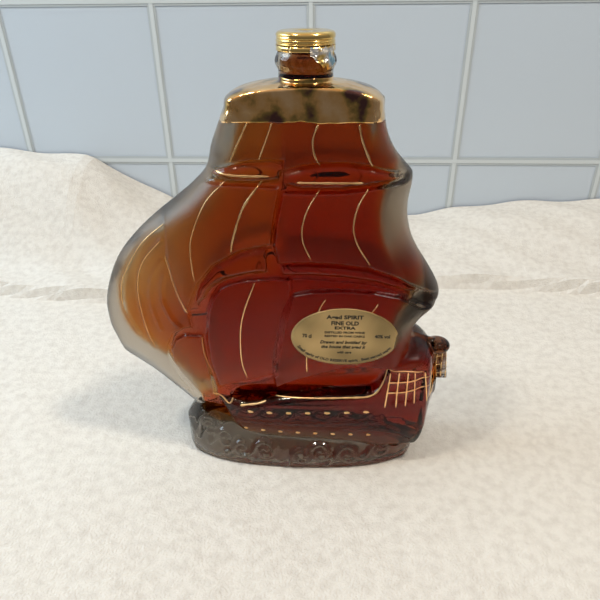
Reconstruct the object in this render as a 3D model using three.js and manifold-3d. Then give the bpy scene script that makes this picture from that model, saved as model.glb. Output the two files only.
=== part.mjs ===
// A decanter moulded as a sailing ship: one hollow glass casting full of spirit,
// closed by a short aluminium screw cap. Millimetres, +Z up, the table at z = 0.
// Shapes are drawn with x = 0 on the neck's axis, the bow to -X and the stern to +X,
// and are then moved so that the origin is under the middle of the whole outline.

import * as THREE from 'three';
import { mergeVertices } from 'three/addons/utils/BufferGeometryUtils.js';
import Module from 'manifold-3d';

const wasm = await Module();
wasm.setup();

// ---------------------------------------------------------------- driving dimensions

const NECK_X = 17.75;           // the neck's axis, from the middle of the outline
const GAP = 0.3;                // air kept between neighbouring pieces

const BASE = { middle: -4.7, halfLength: 77.4, halfDepth: 31.5, bottomRecess: 1.2, rim: 9 };
const OUTSIDE = { edge: 0, face: 0, floor: 0, gap: 0 };
const CAVITY = { edge: 10, face: 5.4, floor: 4.2, gap: 0 };    // glass thickness
const FILL_LEVEL = 243.5;      // the spirit stands up in the neck

const NECK = { bore: 9.25, boreFoot: 226, root: 12.0, mouth: 253.6, foot: 233.2 };
const THREAD = { pitch: 3.0, height: 1.2, footWidth: 1.1, crestWidth: 0.6, start: 250.9 };
const CAP = { radius: 14.2, wall: 0.5, skirt: 249.7, top: 255.4, crown: 0.5 };
const LINER = { radius: 12.9, bottom: 253.9, thickness: 0.7 };
const RING = { inner: 13.2, outer: 14.25, bottom: 247.0, top: 249.35 };
const SCRAP = { inner: 15.35, thickness: 0.5, bottom: 242.8, top: 248.9, from: -82, to: -30 };
const LABEL = { x: 22.3, z: 99.8, halfWidth: 30.3, halfHeight: 19.6, thickness: 0.25 };

// ---------------------------------------------------------------- outlines, [z, x] or [x, value]

const FORE_EDGE = through([
  [24, -68], [35, -78.5], [48, -91], [58, -103], [68, -114], [80, -120], [95, -121.9],
  [108, -121.3], [124, -116.4], [139, -108.6], [152, -97.5], [164, -84.2], [174, -71],
  [183, -60], [191, -52.8], [204, -48.6], [216, -43.4], [224, -40.6],
]);
const AFT_EDGE = through([
  [24, 60], [60, 63], [94, 63.6], [101, 64.8], [107, 68.4], [113, 73.8], [119, 76.8], [124, 75.2],
  [132, 70.6], [144, 62.8], [153, 58.2], [165, 54.9], [174, 54.4], [183, 55.6], [188, 55.8],
  [193, 51.8], [199, 46.6], [206, 42.6], [214, 40], [224, 38.8],
]);
const SAIL_DEPTH = through([
  [24, 15], [50, 15.5], [60, 18], [75, 22.5], [95, 24.6], [120, 25], [160, 23], [190, 20],
  [216, 18], [224, 17.6],
]);
const SHOULDER = { from: 224, rise: 10, neckRadius: 13.4 };
const SAIL_ROUNDNESS = 3.0;     // 2 is an ellipse, and more is squarer
const JIB = { thinning: 0.42, tip: -105, root: -50 };
const MAST_X = -15;             // the fore sails meet the main sails here
const SEAM = { depth: 2.4, width: 4.5 };

const KEEL = through([
  [-64, 50], [-52, 34], [-39, 25], [-20, 18], [20, 15], [62, 13.5], [76, 18], [82, 33], [86.6, 52],
]);
const GUNWALE = through([
  [-64, 52], [-52, 46], [-40, 43.5], [-19, 48], [8, 50.5], [33, 53], [42, 58], [48, 68], [52, 74],
  [70, 75.5], [86.6, 80.5],
]);
const BEAM = through([
  [-64, 2], [-52, 12], [-39, 18.5], [-20, 22.5], [20, 24.5], [60, 23.5], [72, 21], [80, 13], [86.6, 4.5],
]);

// ---------------------------------------------------------------- curves and lofts

// A smooth function through points of rising first value, flat at its peaks.
function through(points) {
  const slope = points.map((point, i) => {
    const before = points[Math.max(i - 1, 0)];
    const after = points[Math.min(i + 1, points.length - 1)];
    const rising = (point[1] - before[1]) * (after[1] - point[1]) > 0;
    return rising ? (after[1] - before[1]) / (after[0] - before[0]) : 0;
  });
  return (at) => {
    let i = 0;
    while (i < points.length - 2 && at > points[i + 1][0]) i += 1;
    const [a, b] = [points[i], points[i + 1]];
    const width = b[0] - a[0];
    const t = THREE.MathUtils.clamp((at - a[0]) / width, 0, 1);
    const hold = t * t * (3 - 2 * t);
    const bend = (1 - t) * t * width;
    return a[1] + (b[1] - a[1]) * hold + bend * ((1 - t) * slope[i] - t * slope[i + 1]);
  };
}

function steps(from, to, count) {
  return Array.from({ length: count + 1 }, (_, i) => from + ((to - from) * i) / count);
}

// A closed solid from rings of points, each ring anticlockwise seen from the last ring.
function loft(rings) {
  const around = rings[0].length;
  const positions = rings.flat(2);
  const index = [];
  for (let r = 0; r < rings.length - 1; r += 1) {
    for (let i = 0; i < around; i += 1) {
      const [a, b] = [r * around + i, r * around + ((i + 1) % around)];
      index.push(a, b, b + around, a, b + around, a + around);
    }
  }
  for (const [ring, flip] of [[0, true], [rings.length - 1, false]]) {
    const middle = [0, 1, 2].map((axis) => rings[ring].reduce((sum, p) => sum + p[axis], 0) / around);
    const centre = positions.length / 3;
    positions.push(...middle);
    for (let i = 0; i < around; i += 1) {
      const [a, b] = [ring * around + i, ring * around + ((i + 1) % around)];
      index.push(...(flip ? [centre, b, a] : [centre, a, b]));
    }
  }
  const geometry = new THREE.BufferGeometry();
  geometry.setAttribute('position', new THREE.Float32BufferAttribute(positions, 3));
  geometry.setIndex(index);
  return geometry;
}

// Signed power, the corner rounding of a superellipse.
const soft = (value, roundness) => Math.sign(value) * Math.abs(value) ** (2 / roundness);

function around(count) {
  return steps(0, 2 * Math.PI, count).slice(0, -1);
}

// ---------------------------------------------------------------- booleans

function solid(geometry) {
  const bare = new THREE.BufferGeometry();
  bare.setAttribute('position', geometry.getAttribute('position').clone());
  if (geometry.index) bare.setIndex(geometry.index.clone());
  const merged = mergeVertices(bare, 1e-4);
  const corners = merged.index.array;
  const kept = [];
  for (let i = 0; i < corners.length; i += 3) {
    const [a, b, c] = corners.slice(i, i + 3);
    if (a !== b && b !== c && c !== a) kept.push(a, b, c);
  }
  return new wasm.Manifold(new wasm.Mesh({
    numProp: 3,
    vertProperties: new Float32Array(merged.getAttribute('position').array),
    triVerts: new Uint32Array(kept),
  }));
}

function geometryOf(manifold) {
  const mesh = manifold.getMesh();
  const geometry = new THREE.BufferGeometry();
  geometry.setAttribute('position', new THREE.BufferAttribute(new Float32Array(mesh.vertProperties), 3));
  geometry.setIndex(new THREE.BufferAttribute(new Uint32Array(mesh.triVerts), 1));
  return geometry;
}

// A solid of revolution about the neck's axis from a closed [radius, z] profile.
function turned(profile, segments = 36) {
  const points = [...profile, profile[0]].map(([r, z]) => new THREE.Vector2(r, z));
  return new THREE.LatheGeometry(points, segments).rotateX(Math.PI / 2);
}

function disc(radius, bottom, top) {
  return turned([[0, bottom], [radius, bottom], [radius, top], [0, top]]);
}

// ---------------------------------------------------------------- the ship's form

// How far the moulded sails dip between one sail and the next.
function seamBetweenSails(x, z) {
  const dip = (distance) => Math.exp(-((distance / SEAM.width) ** 2));
  const topYard = 188;
  const middleYard = 141 + (x < MAST_X ? 0.3 * (x - MAST_X) : -0.003 * (x - 10) ** 2);
  const mast = dip(x - MAST_X) * THREE.MathUtils.smoothstep(z, 55, 75);
  const yards = dip(z - topYard) + dip(z - middleYard);
  return SEAM.depth * Math.min(1, mast + yards) * (1 - THREE.MathUtils.smoothstep(z, 200, 214));
}

// Half the depth of the sails' glass, before the rounding of their edges.
function sailDepth(x, z) {
  const jib = 1 - JIB.thinning * (1 - THREE.MathUtils.smoothstep(x, JIB.tip, JIB.root));
  return SAIL_DEPTH(z) * jib - seamBetweenSails(x, z);
}

// Half the depth at a place on the finished sails.
function sailFace(x, z) {
  const [fore, aft] = [FORE_EDGE(z), AFT_EDGE(z)];
  const across = Math.min(1, Math.abs((2 * x - fore - aft) / (aft - fore)));
  return sailDepth(x, z) * (1 - across ** SAIL_ROUNDNESS) ** (1 / SAIL_ROUNDNESS);
}

// One level slice of the sails, drawn in by the thickness of the glass.
function sailSlice(z, count, inset) {
  const edge = inset.edge + inset.gap;
  const [fore, aft] = [FORE_EDGE(z) + edge, AFT_EDGE(z) - edge];
  return around(count).map((turn) => {
    const x = (fore + aft) / 2 + ((aft - fore) / 2) * soft(Math.cos(turn), SAIL_ROUNDNESS);
    const depth = sailDepth(x, z) - inset.face - inset.gap;
    return [x, depth * soft(Math.sin(turn), SAIL_ROUNDNESS), z];
  });
}

// The shoulder narrows from the last sail slice to the round neck.
function shoulderSlice(rise, count, inset) {
  const spread = Math.sqrt(Math.max(0, 1 - rise ** 2));
  const neckRadius = inset === OUTSIDE ? SHOULDER.neckRadius : NECK.bore - inset.gap;
  const half = (AFT_EDGE(SHOULDER.from) - FORE_EDGE(SHOULDER.from)) / 2 - inset.edge - inset.gap;
  const middle = ((AFT_EDGE(SHOULDER.from) + FORE_EDGE(SHOULDER.from)) / 2) * spread;
  const halfX = neckRadius + (half - neckRadius) * spread;
  const halfY = neckRadius + (SAIL_DEPTH(SHOULDER.from) - inset.face - inset.gap - neckRadius) * spread;
  const roundness = 2 + (SAIL_ROUNDNESS - 2) * spread;
  const z = SHOULDER.from + (SHOULDER.rise - inset.face) * rise;
  return around(count).map((turn) => [
    middle + halfX * soft(Math.cos(turn), roundness), halfY * soft(Math.sin(turn), roundness), z,
  ]);
}

function sails(count, levels, bottom, inset) {
  const rings = steps(bottom + inset.gap, SHOULDER.from, levels).map((z) => sailSlice(z, count, inset));
  for (const rise of [0.35, 0.6, 0.8, 0.92, 1]) rings.push(shoulderSlice(rise, count, inset));
  return solid(loft(rings));
}

// The hull is drawn as frames from the bow to the stern.
function hull(count, frames, bow, stern, inset) {
  const rings = steps(bow + inset.gap, stern - inset.gap, frames).map((x) => {
    const low = KEEL(x) + inset.face + inset.floor + inset.gap;
    const high = GUNWALE(x) - inset.face - inset.gap;
    const half = BEAM(x) - inset.face - inset.gap;
    return around(count).map((turn) => [
      x, half * soft(Math.cos(turn), 3), (low + high) / 2 + ((high - low) / 2) * soft(Math.sin(turn), 3),
    ]);
  });
  return solid(loft(rings));
}

function waveBase() {
  const levels = [[0, -1.4], [1.2, 0], [8, 0.2], [14, -1.6], [19, -5], [23, -9.5]];
  const rings = levels.map(([z, grow]) => around(44).map((turn) => {
    const swell = z > 1 && z < 20 ? 0.9 * Math.cos(11 * turn) : 0;
    return [
      BASE.middle + (BASE.halfLength + grow) * soft(Math.cos(turn), 2.5),
      (BASE.halfDepth + grow + swell - 0.9) * soft(Math.sin(turn), 2.5), z,
    ];
  }));
  return solid(loft(rings));
}

// The shallow recess under the base leaves a flat rim to stand on.
function baseRecess() {
  const rings = [-1, BASE.bottomRecess].map((z) => around(32).map((turn) => [
    BASE.middle + (BASE.halfLength - BASE.rim) * soft(Math.cos(turn), 2.5),
    (BASE.halfDepth - BASE.rim) * soft(Math.sin(turn), 2.5), z,
  ]));
  return solid(loft(rings));
}

// ---------------------------------------------------------------- neck and closure

// A helical ridge on the neck (outward) or in the cap (inward), tapered at its ends.
function threadRidge(wallRadius, outward, startHeight, fromTurn, toTurn) {
  const reach = outward * THREAD.height;
  const count = Math.round((toTurn - fromTurn) * 20);
  const rings = steps(fromTurn, toTurn, count).map((turn, i) => {
    const taper = Math.min(1, (i + 0.3) / 3, (count - i + 0.3) / 3);
    const z = startHeight + THREAD.pitch * turn;
    const angle = 2 * Math.PI * turn;
    const foot = wallRadius - outward * GAP;
    const crest = wallRadius + reach * taper;
    const section = [
      [foot, -THREAD.footWidth / 2], [crest, -THREAD.crestWidth / 2],
      [crest, THREAD.crestWidth / 2], [foot, THREAD.footWidth / 2],
    ];
    if (outward < 0) section.reverse();
    return section.map(([r, dz]) => [r * Math.cos(angle), r * Math.sin(angle), z + dz]);
  });
  return solid(loft(rings.map((ring) => [...ring].reverse())));
}

function neck() {
  const glass = solid(turned([
    [0, 226], [13, 226], [14.4, NECK.foot], [13.5, 235.2], [13.35, 237], [13.35, 238.6], [14.6, 240.6],
    [15, 242.4], [14.6, 244.2], [13.9, 245.4], [13.7, 246.6], [12.3, 246.7], [12.3, 247.9],
    [12.9, 248.5], [12.9, 249.1], [NECK.root, 249.6], [NECK.root, 253.1], [11.4, NECK.mouth],
    [0, NECK.mouth],
  ]));
  return glass.add(threadRidge(NECK.root, 1, THREAD.start, 0, 0.7));
}

function cavity(gap = 0) {
  const inset = { ...CAVITY, gap };
  return sails(28, 22, 40, inset).add(hull(16, 16, -44, 76, inset));
}

function bottle() {
  const ship = sails(40, 36, 24, OUTSIDE).add(hull(20, 26, -63, 86.4, OUTSIDE));
  const outside = ship.add(waveBase()).add(neck());
  const bore = solid(disc(NECK.bore, NECK.boreFoot, NECK.mouth + 2));
  return outside.subtract(cavity()).subtract(bore).subtract(baseRecess());
}

function spirit() {
  return cavity(GAP).add(solid(disc(NECK.bore - GAP, NECK.boreFoot + GAP, FILL_LEVEL)));
}

function screwCap() {
  const bore = CAP.radius - CAP.wall;
  const shell = solid(turned([
    [0, CAP.top - CAP.crown], [bore - 0.5, CAP.top - CAP.crown], [bore, CAP.top - CAP.crown - 0.5],
    [bore, CAP.skirt], [CAP.radius - 0.1, CAP.skirt], [CAP.radius - 0.1, 251.6], [CAP.radius - 0.45, 251.9],
    [CAP.radius - 0.45, 252.3], [CAP.radius, 252.7], [CAP.radius, 254.2], [CAP.radius - 0.5, 255.1],
    [CAP.radius - 1.6, CAP.top], [0, CAP.top],
  ]));
  return shell.add(threadRidge(bore, -1, THREAD.start - THREAD.pitch / 2, 0.35, 1.15));
}

function capLiner() {
  const { radius, bottom, thickness } = LINER;
  const top = bottom + thickness;
  return solid(turned([
    [0, bottom], [radius - 0.2, bottom], [radius, bottom + 0.2], [radius, top], [0, top],
  ]));
}

// The tamper ring has a curled lower lip and one torn bridge, cut through as a slit.
function tamperRing() {
  const ring = solid(turned([
    [RING.inner, RING.top], [RING.inner, RING.bottom + 0.9], [RING.inner - 0.5, RING.bottom + 0.4],
    [RING.inner - 0.3, RING.bottom], [RING.outer, RING.bottom], [RING.outer, RING.top],
  ]));
  const slit = new THREE.BoxGeometry(0.8, 6, 6).translate(0, -RING.outer, (RING.bottom + RING.top) / 2);
  return ring.subtract(solid(slit.rotateZ(THREE.MathUtils.degToRad(-30))));
}

// A torn scrap of the foil seal, still stuck round part of the neck.
function sealScrap() {
  const { from, to, inner, thickness, bottom, top } = SCRAP;
  const rings = steps(THREE.MathUtils.degToRad(from), THREE.MathUtils.degToRad(to), 14).map((angle, i) => {
    const low = bottom + 1.1 * Math.abs(Math.sin(i * 1.7));
    const high = top - 0.8 * Math.abs(Math.sin(i * 2.3 + 1));
    const radius = inner + 0.25 * Math.sin(i * 2.1) ** 2;
    const section = [[radius, low], [radius + thickness, low], [radius + thickness, high], [radius, high]];
    return section.map(([r, z]) => [r * Math.cos(angle), r * Math.sin(angle), z]);
  });
  return solid(loft(rings.map((ring) => [...ring].reverse())));
}

// The oval label follows the swell of the main sail that it is stuck on.
function frontLabel() {
  const sizes = [0.999, 0.66, 0.33];
  const face = (lift) => (size) => around(28).map((turn) => {
    const x = LABEL.x + LABEL.halfWidth * size * Math.cos(turn);
    const z = LABEL.z + LABEL.halfHeight * size * Math.sin(turn);
    return [x, -(sailFace(x, z) + GAP + lift), z];
  });
  const back = sizes.map(face(0)).reverse();
  const front = sizes.map(face(LABEL.thickness));
  return solid(loft([...back, ...front]));
}

// ---------------------------------------------------------------- the assembly

const PIECES = [
  ['bottle', bottle, { color: 0xb9b4a6, roughness: 0.25, metalness: 0 }],
  ['spirit', spirit, { color: 0x8a3212, roughness: 0.05, metalness: 0 }],
  ['screw_cap', screwCap, { color: 0xb9953f, roughness: 0.28, metalness: 1 }],
  ['cap_liner', capLiner, { color: 0xe6e2d8, roughness: 0.7, metalness: 0 }],
  ['tamper_ring', tamperRing, { color: 0xb9953f, roughness: 0.3, metalness: 1 }],
  ['seal_scrap', sealScrap, { color: 0xc9c4b4, roughness: 0.25, metalness: 1 }],
  ['front_label', frontLabel, { color: 0xb5a66a, roughness: 0.5, metalness: 0.2 }],
];

const ship = new THREE.Group();
ship.position.x = NECK_X;
for (const [name, build, finish] of PIECES) {
  const mesh = new THREE.Mesh(geometryOf(build()), new THREE.MeshStandardMaterial(finish));
  mesh.name = name;
  ship.add(mesh);
}

const decanter = new THREE.Group();
decanter.add(ship);

export default decanter;
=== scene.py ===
"""Looks of a ship-shaped decanter: frosted glass sails, a clear hull and waves, amber spirit and gilding.

The glass is one casting from a two-part mould, so its form is a solid whose half depth is worked out
over the keel plane (x to the stern, z up) and mirrored in y. Shapes are in millimetres with x = 0 on
the neck's axis, and become metres in the CAD model's frame when a mesh is made.
"""

import math

import bpy
import numpy as np
from mathutils import Matrix, Vector


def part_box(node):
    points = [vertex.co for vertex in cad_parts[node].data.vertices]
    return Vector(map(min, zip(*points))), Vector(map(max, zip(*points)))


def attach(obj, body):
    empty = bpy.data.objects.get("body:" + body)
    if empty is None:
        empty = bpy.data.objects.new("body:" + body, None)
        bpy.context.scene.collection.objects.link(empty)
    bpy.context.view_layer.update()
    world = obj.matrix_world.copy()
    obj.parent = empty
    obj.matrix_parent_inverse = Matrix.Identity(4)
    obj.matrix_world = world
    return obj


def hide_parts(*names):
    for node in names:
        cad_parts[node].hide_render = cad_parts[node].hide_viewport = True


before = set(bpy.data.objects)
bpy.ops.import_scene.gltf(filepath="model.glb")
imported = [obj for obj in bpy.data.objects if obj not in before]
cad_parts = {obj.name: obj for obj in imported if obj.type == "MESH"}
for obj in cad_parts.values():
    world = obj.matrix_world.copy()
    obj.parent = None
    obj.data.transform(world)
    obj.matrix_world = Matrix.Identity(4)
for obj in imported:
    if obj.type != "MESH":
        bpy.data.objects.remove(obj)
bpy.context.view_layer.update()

MM = 0.001


def box_mm(node):
    """Lowest and highest corners of a CAD node, in millimetres."""
    low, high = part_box(node)
    return np.array(low) / MM, np.array(high) / MM


CAP_LOW, CAP_HIGH = box_mm("screw_cap")
RING_LOW, RING_HIGH = box_mm("tamper_ring")
LABEL_LOW, LABEL_HIGH = box_mm("front_label")
SCRAP_TOP = box_mm("seal_scrap")[1][2]
LINER_LOW, LINER_HIGH = box_mm("cap_liner")
BOTTLE_LOW, BOTTLE_HIGH = box_mm("bottle")
NECK_X = (CAP_LOW[0] + CAP_HIGH[0]) / 2

# ------------------------------------------------------------------ driving dimensions, mm

CELL = 0.8  # size of the grid that the glass is worked out on
BASE_MIDDLE = -4.7
BASE_HALF_LENGTH = 77.2
BASE_HALF_DEPTH = (BOTTLE_HIGH[1] - BOTTLE_LOW[1]) / 2 - 0.4
BASE_RECESS = 1.2
BASE_RIM = 9.0
WAVE_ROUNDING = 9.0
HULL_ROUNDING = 6.0
NECK_BORE = 9.25
FINISH_FROM = RING_LOW[2] + 0.3  # the threaded finish is a finer mesh from here up, under the ring
MOUTH = BOTTLE_HIGH[2]
BEAD = 248.8  # a raised bead round the finish below the thread
NECK_RADIUS = 12.3
LIP_RADIUS = 11.7
SHOULDER_FROM = 224.0
SHOULDER_RISE = 10.0
THREAD_PITCH = 3.0
THREAD_HEIGHT = 1.2
THREAD_HALF_WIDTH = 0.42
THREAD_START = 250.9
FILL_LEVEL = 243.5
GLASS_WALL = 5.0
HULL_WALL = 3.8
SUNK = 3.0  # the clear glass between the sails lies this far under their usual depth
GLASS_IOR = 1.5
SPIRIT_IOR = 1.36
SWELL = 0.15  # the spirit is drawn this far into the glass, so no air shows between them
GILT_EDGE = 216.8  # where the brush left the gilded shoulder's lower edge
GILT_TOP = 235.6
JIB_THINNING = 0.42
LANTERN_MIDDLE = (83.6, 65.5)
LANTERN_HALF = (4.4, 10.5)
LANTERN_DEPTH = 4.6
LANTERN_LEAN = 0.12
LANTERN_ROUNDING = 2.6
KNOB_MIDDLE = (80.6, 78.6)
KNOB_REACH = (8.0, 7.6, 4.6)
BOOM_FOOT = (64.5, 86.2)
BOOM_RUN = 12.5
BOOM_FALL = 5.0
BOOM_RADIUS = 2.6

# ------------------------------------------------------------------ curves


def through(points):
    """A smooth function through points of rising first value, flat at its peaks."""
    xs, ys = np.array(points, float).T
    before = np.concatenate([[0], np.diff(ys)])
    after = np.concatenate([np.diff(ys), [0]])
    reach = np.concatenate([xs[1:], xs[-1:]]) - np.concatenate([xs[:1], xs[:-1]])
    slopes = np.where(before * after > 0, (before + after) / reach, 0)

    def value(at):
        at = np.asarray(at, float)
        i = np.clip(np.searchsorted(xs, at) - 1, 0, len(xs) - 2)
        width = xs[i + 1] - xs[i]
        t = np.clip((at - xs[i]) / width, 0, 1)
        hold = t * t * (3 - 2 * t)
        bend = (1 - t) * t * width
        return ys[i] + (ys[i + 1] - ys[i]) * hold + bend * ((1 - t) * slopes[i] - t * slopes[i + 1])

    return value


def smoothstep(value, low, high):
    t = np.clip((value - low) / (high - low), 0, 1)
    return t * t * (3 - 2 * t)


def hump(distance, width):
    """1 at no distance, falling smoothly to nothing over about two widths."""
    return np.exp(-((distance / width) ** 2))


def smooth_line(points, spacing, closed=False):
    """Points at about a spacing along a Catmull-Rom curve."""
    points = np.array(points, float)
    before, after = (points[-1:], points[:2]) if closed else (points[:1], points[-1:])
    wrapped = np.concatenate([before, points, after])
    line = []
    for i in range(len(wrapped) - 3):
        p = wrapped[i:i + 4]
        steps = max(2, int(round(np.linalg.norm(p[2] - p[1]) / spacing)))
        for t in np.arange(steps) / steps:
            line.append(
                0.5 * (2 * p[1] + (p[2] - p[0]) * t + (2 * p[0] - 5 * p[1] + 4 * p[2] - p[3]) * t**2
                       + (3 * p[1] - p[0] - 3 * p[2] + p[3]) * t**3)
            )
    if not closed:
        line.append(points[-1])
    return np.array(line)


# ------------------------------------------------------------------ outlines in the keel plane

FORE_EDGE = through([
    (24, -68), (33, -75.2), (46, -87.4), (57, -98.2), (68, -110.4), (73.5, -116), (75.5, -116.9),
    (85, -119.6), (95, -121.6), (108, -121.3), (124, -116.4), (139, -108.6), (152, -97.5), (164, -84.2),
    (174, -71), (183, -60), (191, -52.8), (204, -48.6), (216, -43.4), (224, -40.6),
])
AFT_EDGE = through([
    (24, 60), (60, 63), (94, 63.6), (101, 64.8), (107, 68.4), (113, 73.8), (119, 76.8), (124, 75.2),
    (132, 70.6), (144, 62.8), (153, 58.2), (165, 54.9), (174, 54.4), (183, 55.6), (188, 55.8),
    (193, 51.8), (199, 46.6), (206, 42.6), (214, 40), (224, 38.8),
])
SAIL_DEPTH = through([
    (24, 16), (50, 18), (60, 19), (75, 22), (95, 23.6), (120, 24), (160, 22), (190, 19.5),
    (216, 17.8), (224, 17.4),
])
HULL_TOP = through([
    (-66, 53), (-52, 48.5), (-40, 47.5), (-19, 53.2), (8, 57), (33, 59.5), (41, 63), (47, 76), (54, 84.5),
    (66, 86.5), (76, 81), (83.5, 73),
])
HULL_BOTTOM = through([
    (-66, 51), (-60, 42), (-52, 30), (-44, 20), (-36, 12), (70, 12), (75, 16), (79, 26), (83.5, 43),
])
BEAM = through([
    (-66, 2), (-62, 8), (-56, 13.5), (-50, 17), (-39, 20.5), (-20, 23), (20, 24.2), (60, 23.2),
    (70, 21.6), (74.5, 19.5), (78, 11.5), (80.5, 5.5), (83.5, 1.5),
])
WAVE_TOP = through([
    (-84, 16), (-79, 25), (-73, 33.5), (-66, 38), (-59, 38), (-51, 34), (-43, 29), (-34, 26.5),
    (-16, 25.5), (4, 25), (30, 24.5), (46, 25.5), (58, 24), (66, 19), (73, 12),
])


def sail_outline():
    levels = np.arange(24, SHOULDER_FROM, 1.6)
    rise = np.linspace(0, 1, 12)
    spread = np.sqrt(1 - rise**2)
    fore, aft = FORE_EDGE(SHOULDER_FROM), AFT_EDGE(SHOULDER_FROM)
    top = SHOULDER_FROM + SHOULDER_RISE * rise
    left = [(FORE_EDGE(z), z) for z in levels] + list(zip(fore * spread, top))
    right = [(AFT_EDGE(z), z) for z in levels] + list(zip(aft * spread, top))
    return left + right[::-1]


def hull_outline():
    along = np.linspace(-65.5, 83.5, 100)
    top = [(x, HULL_TOP(x)) for x in along]
    bottom = [(x, HULL_BOTTOM(x)) for x in along]
    return top + bottom[::-1]


def wave_outline():
    along = np.linspace(-1, 1, 60)
    xs = BASE_MIDDLE + BASE_HALF_LENGTH * along
    return [(x, WAVE_TOP(x)) for x in xs] + [(x, -8) for x in xs[::-1]]


# Each sail stands a little proud of the clear glass behind it. Beyond the outline a sail's
# own border runs wide, so that only its inner borders make a step.
TOP_FORE_SAIL = [
    (-62, 229), (-8, 229), (-9, 216), (-9.4, 198.6), (-16, 198.6), (-27, 198.4), (-38, 196.4),
    (-45.5, 193.8), (-62, 190.5),
]
TOP_MAIN_SAIL = [
    (-11, 229), (60, 229), (62, 189.6), (54, 190.6), (44, 192.6), (32, 196.2), (20, 197.6), (7.6, 197.4),
    (-2, 196), (-10.6, 193.6),
]
MIDDLE_FORE_SAIL = [
    (-13, 184.8), (-16.4, 168.5), (-18, 154.6), (-35, 150.8), (-50, 142.6), (-59.5, 130.8), (-64, 121),
    (-68.6, 110), (-72, 119), (-75, 133.5), (-76, 146.5), (-75.4, 161), (-77, 176), (-62, 187),
    (-44, 186.2), (-25, 185.6),
]
MIDDLE_MAIN_SAIL = [
    (-11.2, 182.8), (-14.6, 168), (-16.4, 155), (-14.4, 144.2), (-6, 144.8), (4, 145), (19, 144),
    (34, 142), (50, 136.8), (65.4, 127.8), (76, 121.4), (90, 122), (80, 150), (70, 178), (62, 186.6),
    (47.5, 187.4), (30, 184.2), (18, 182.6), (-2, 182.6),
]
LOWER_FORE_SAIL = [
    (-8, 134.8), (-14, 135.4), (-22, 135), (-32.5, 133.8), (-41, 131.6), (-46.7, 128.8), (-51.4, 122.6),
    (-54.6, 114), (-57.4, 94), (-57, 78), (-54.2, 56), (-38, 60.8), (-22, 67.2), (-17.4, 69.4), (-16, 84),
    (-12.4, 104), (-8, 122),
]
LOWER_MAIN_BACK = [
    (-20, 134.6), (-1, 135.4), (28.6, 133), (38, 131.8), (52, 127.6), (62, 122), (50, 118), (-20, 118),
]
LOWER_MAIN_SAIL = [
    (-6.6, 126.4), (3.8, 128.6), (19, 129.4), (38, 128.6), (52, 125.8), (66, 119), (84, 112), (84, 96),
    (76, 84), (62, 74.8), (51.4, 75.2), (38.3, 77), (20.5, 75.4), (8.6, 71.4), (-3.5, 66), (-10.9, 62),
    (-18.6, 57.2), (-19.6, 74), (-17.2, 92), (-12, 114.6),
]
LOWER_JIB = [
    (-60.6, 96), (-71, 95), (-77.4, 90.4), (-81, 82.4), (-81.4, 73), (-77.4, 63), (-71.4, 53.4), (-64, 45),
    (-56.6, 46), (-58.2, 62), (-59.8, 80),
]
OUTER_JIB = [
    (-68, 184), (-72, 170), (-72, 150), (-70, 136), (-69, 120), (-66.6, 108), (-66, 100.6),
    (-72, 99.4), (-79.4, 94.2), (-83.6, 85), (-84.4, 72.6), (-80.4, 60.4), (-73.8, 50), (-66, 38), (-84, 26),
    (-140, 60), (-140, 150), (-90, 176),
]
SAILS = [  # outline, how far it stands proud, its middle's swell, half its border's width, border polish
    (TOP_FORE_SAIL, 1.7, 0.6, 0.9, 0.2), (TOP_MAIN_SAIL, 2.5, 0.8, 0.9, 0.2),
    (MIDDLE_FORE_SAIL, 2.2, 1.4, 0.8, 0.3), (MIDDLE_MAIN_SAIL, 2.8, 1.6, 0.8, 0.6),
    (LOWER_FORE_SAIL, 2.6, 1.2, 0.8, 0.9), (LOWER_MAIN_BACK, 1.6, 0.3, 0.8, 0.2),
    (LOWER_MAIN_SAIL, 4.6, 1.0, 1.0, 0.9), (LOWER_JIB, 2.4, 1.2, 0.7, 0.5), (OUTER_JIB, 1.3, 0.2, 0.7, 0.0),
]
JIB_CREASES = [  # soft folds in the jib
    [(-76.3, 162.8), (-91.4, 149.6), (-103.6, 130.8), (-107, 110.8), (-101, 92)],
    [(-78.6, 154), (-91.4, 139.2), (-96.5, 121.1), (-95.3, 97.1), (-91.9, 82.7)],
    [(-79.6, 141.8), (-86.8, 131), (-89.8, 114.6), (-86.6, 96)],
    [(-82.4, 116.7), (-77.5, 104.5), (-71.2, 98)],
    [(-79, 134), (-82, 122), (-80.4, 108), (-74, 100)],
]
SCROLLS = [  # x, z, size and lean of each curl along the waves
    (-64, 23, 5.5, 0.5), (-53, 18, 5.5, 0.1), (-42, 12, 5.0, 0.0), (-27, 13, 6.0, 0.0), (-4, 9.5, 5.5, 0.3),
    (9, 13, 5.5, -0.2), (26, 10.5, 6.5, 0.1), (47, 12.5, 5.5, 0.0), (58, 20, 5.0, 0.2),
]
CURL = [  # one breaking curl, in units of its size
    (-2.0, -0.9), (-1.3, -0.35), (-0.8, 0.4), (0, 0.85), (0.8, 0.5), (0.95, -0.25), (0.45, -0.75),
    (-0.2, -0.6), (-0.4, -0.05), (0, 0.25), (0.3, 0.0),
]

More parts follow.
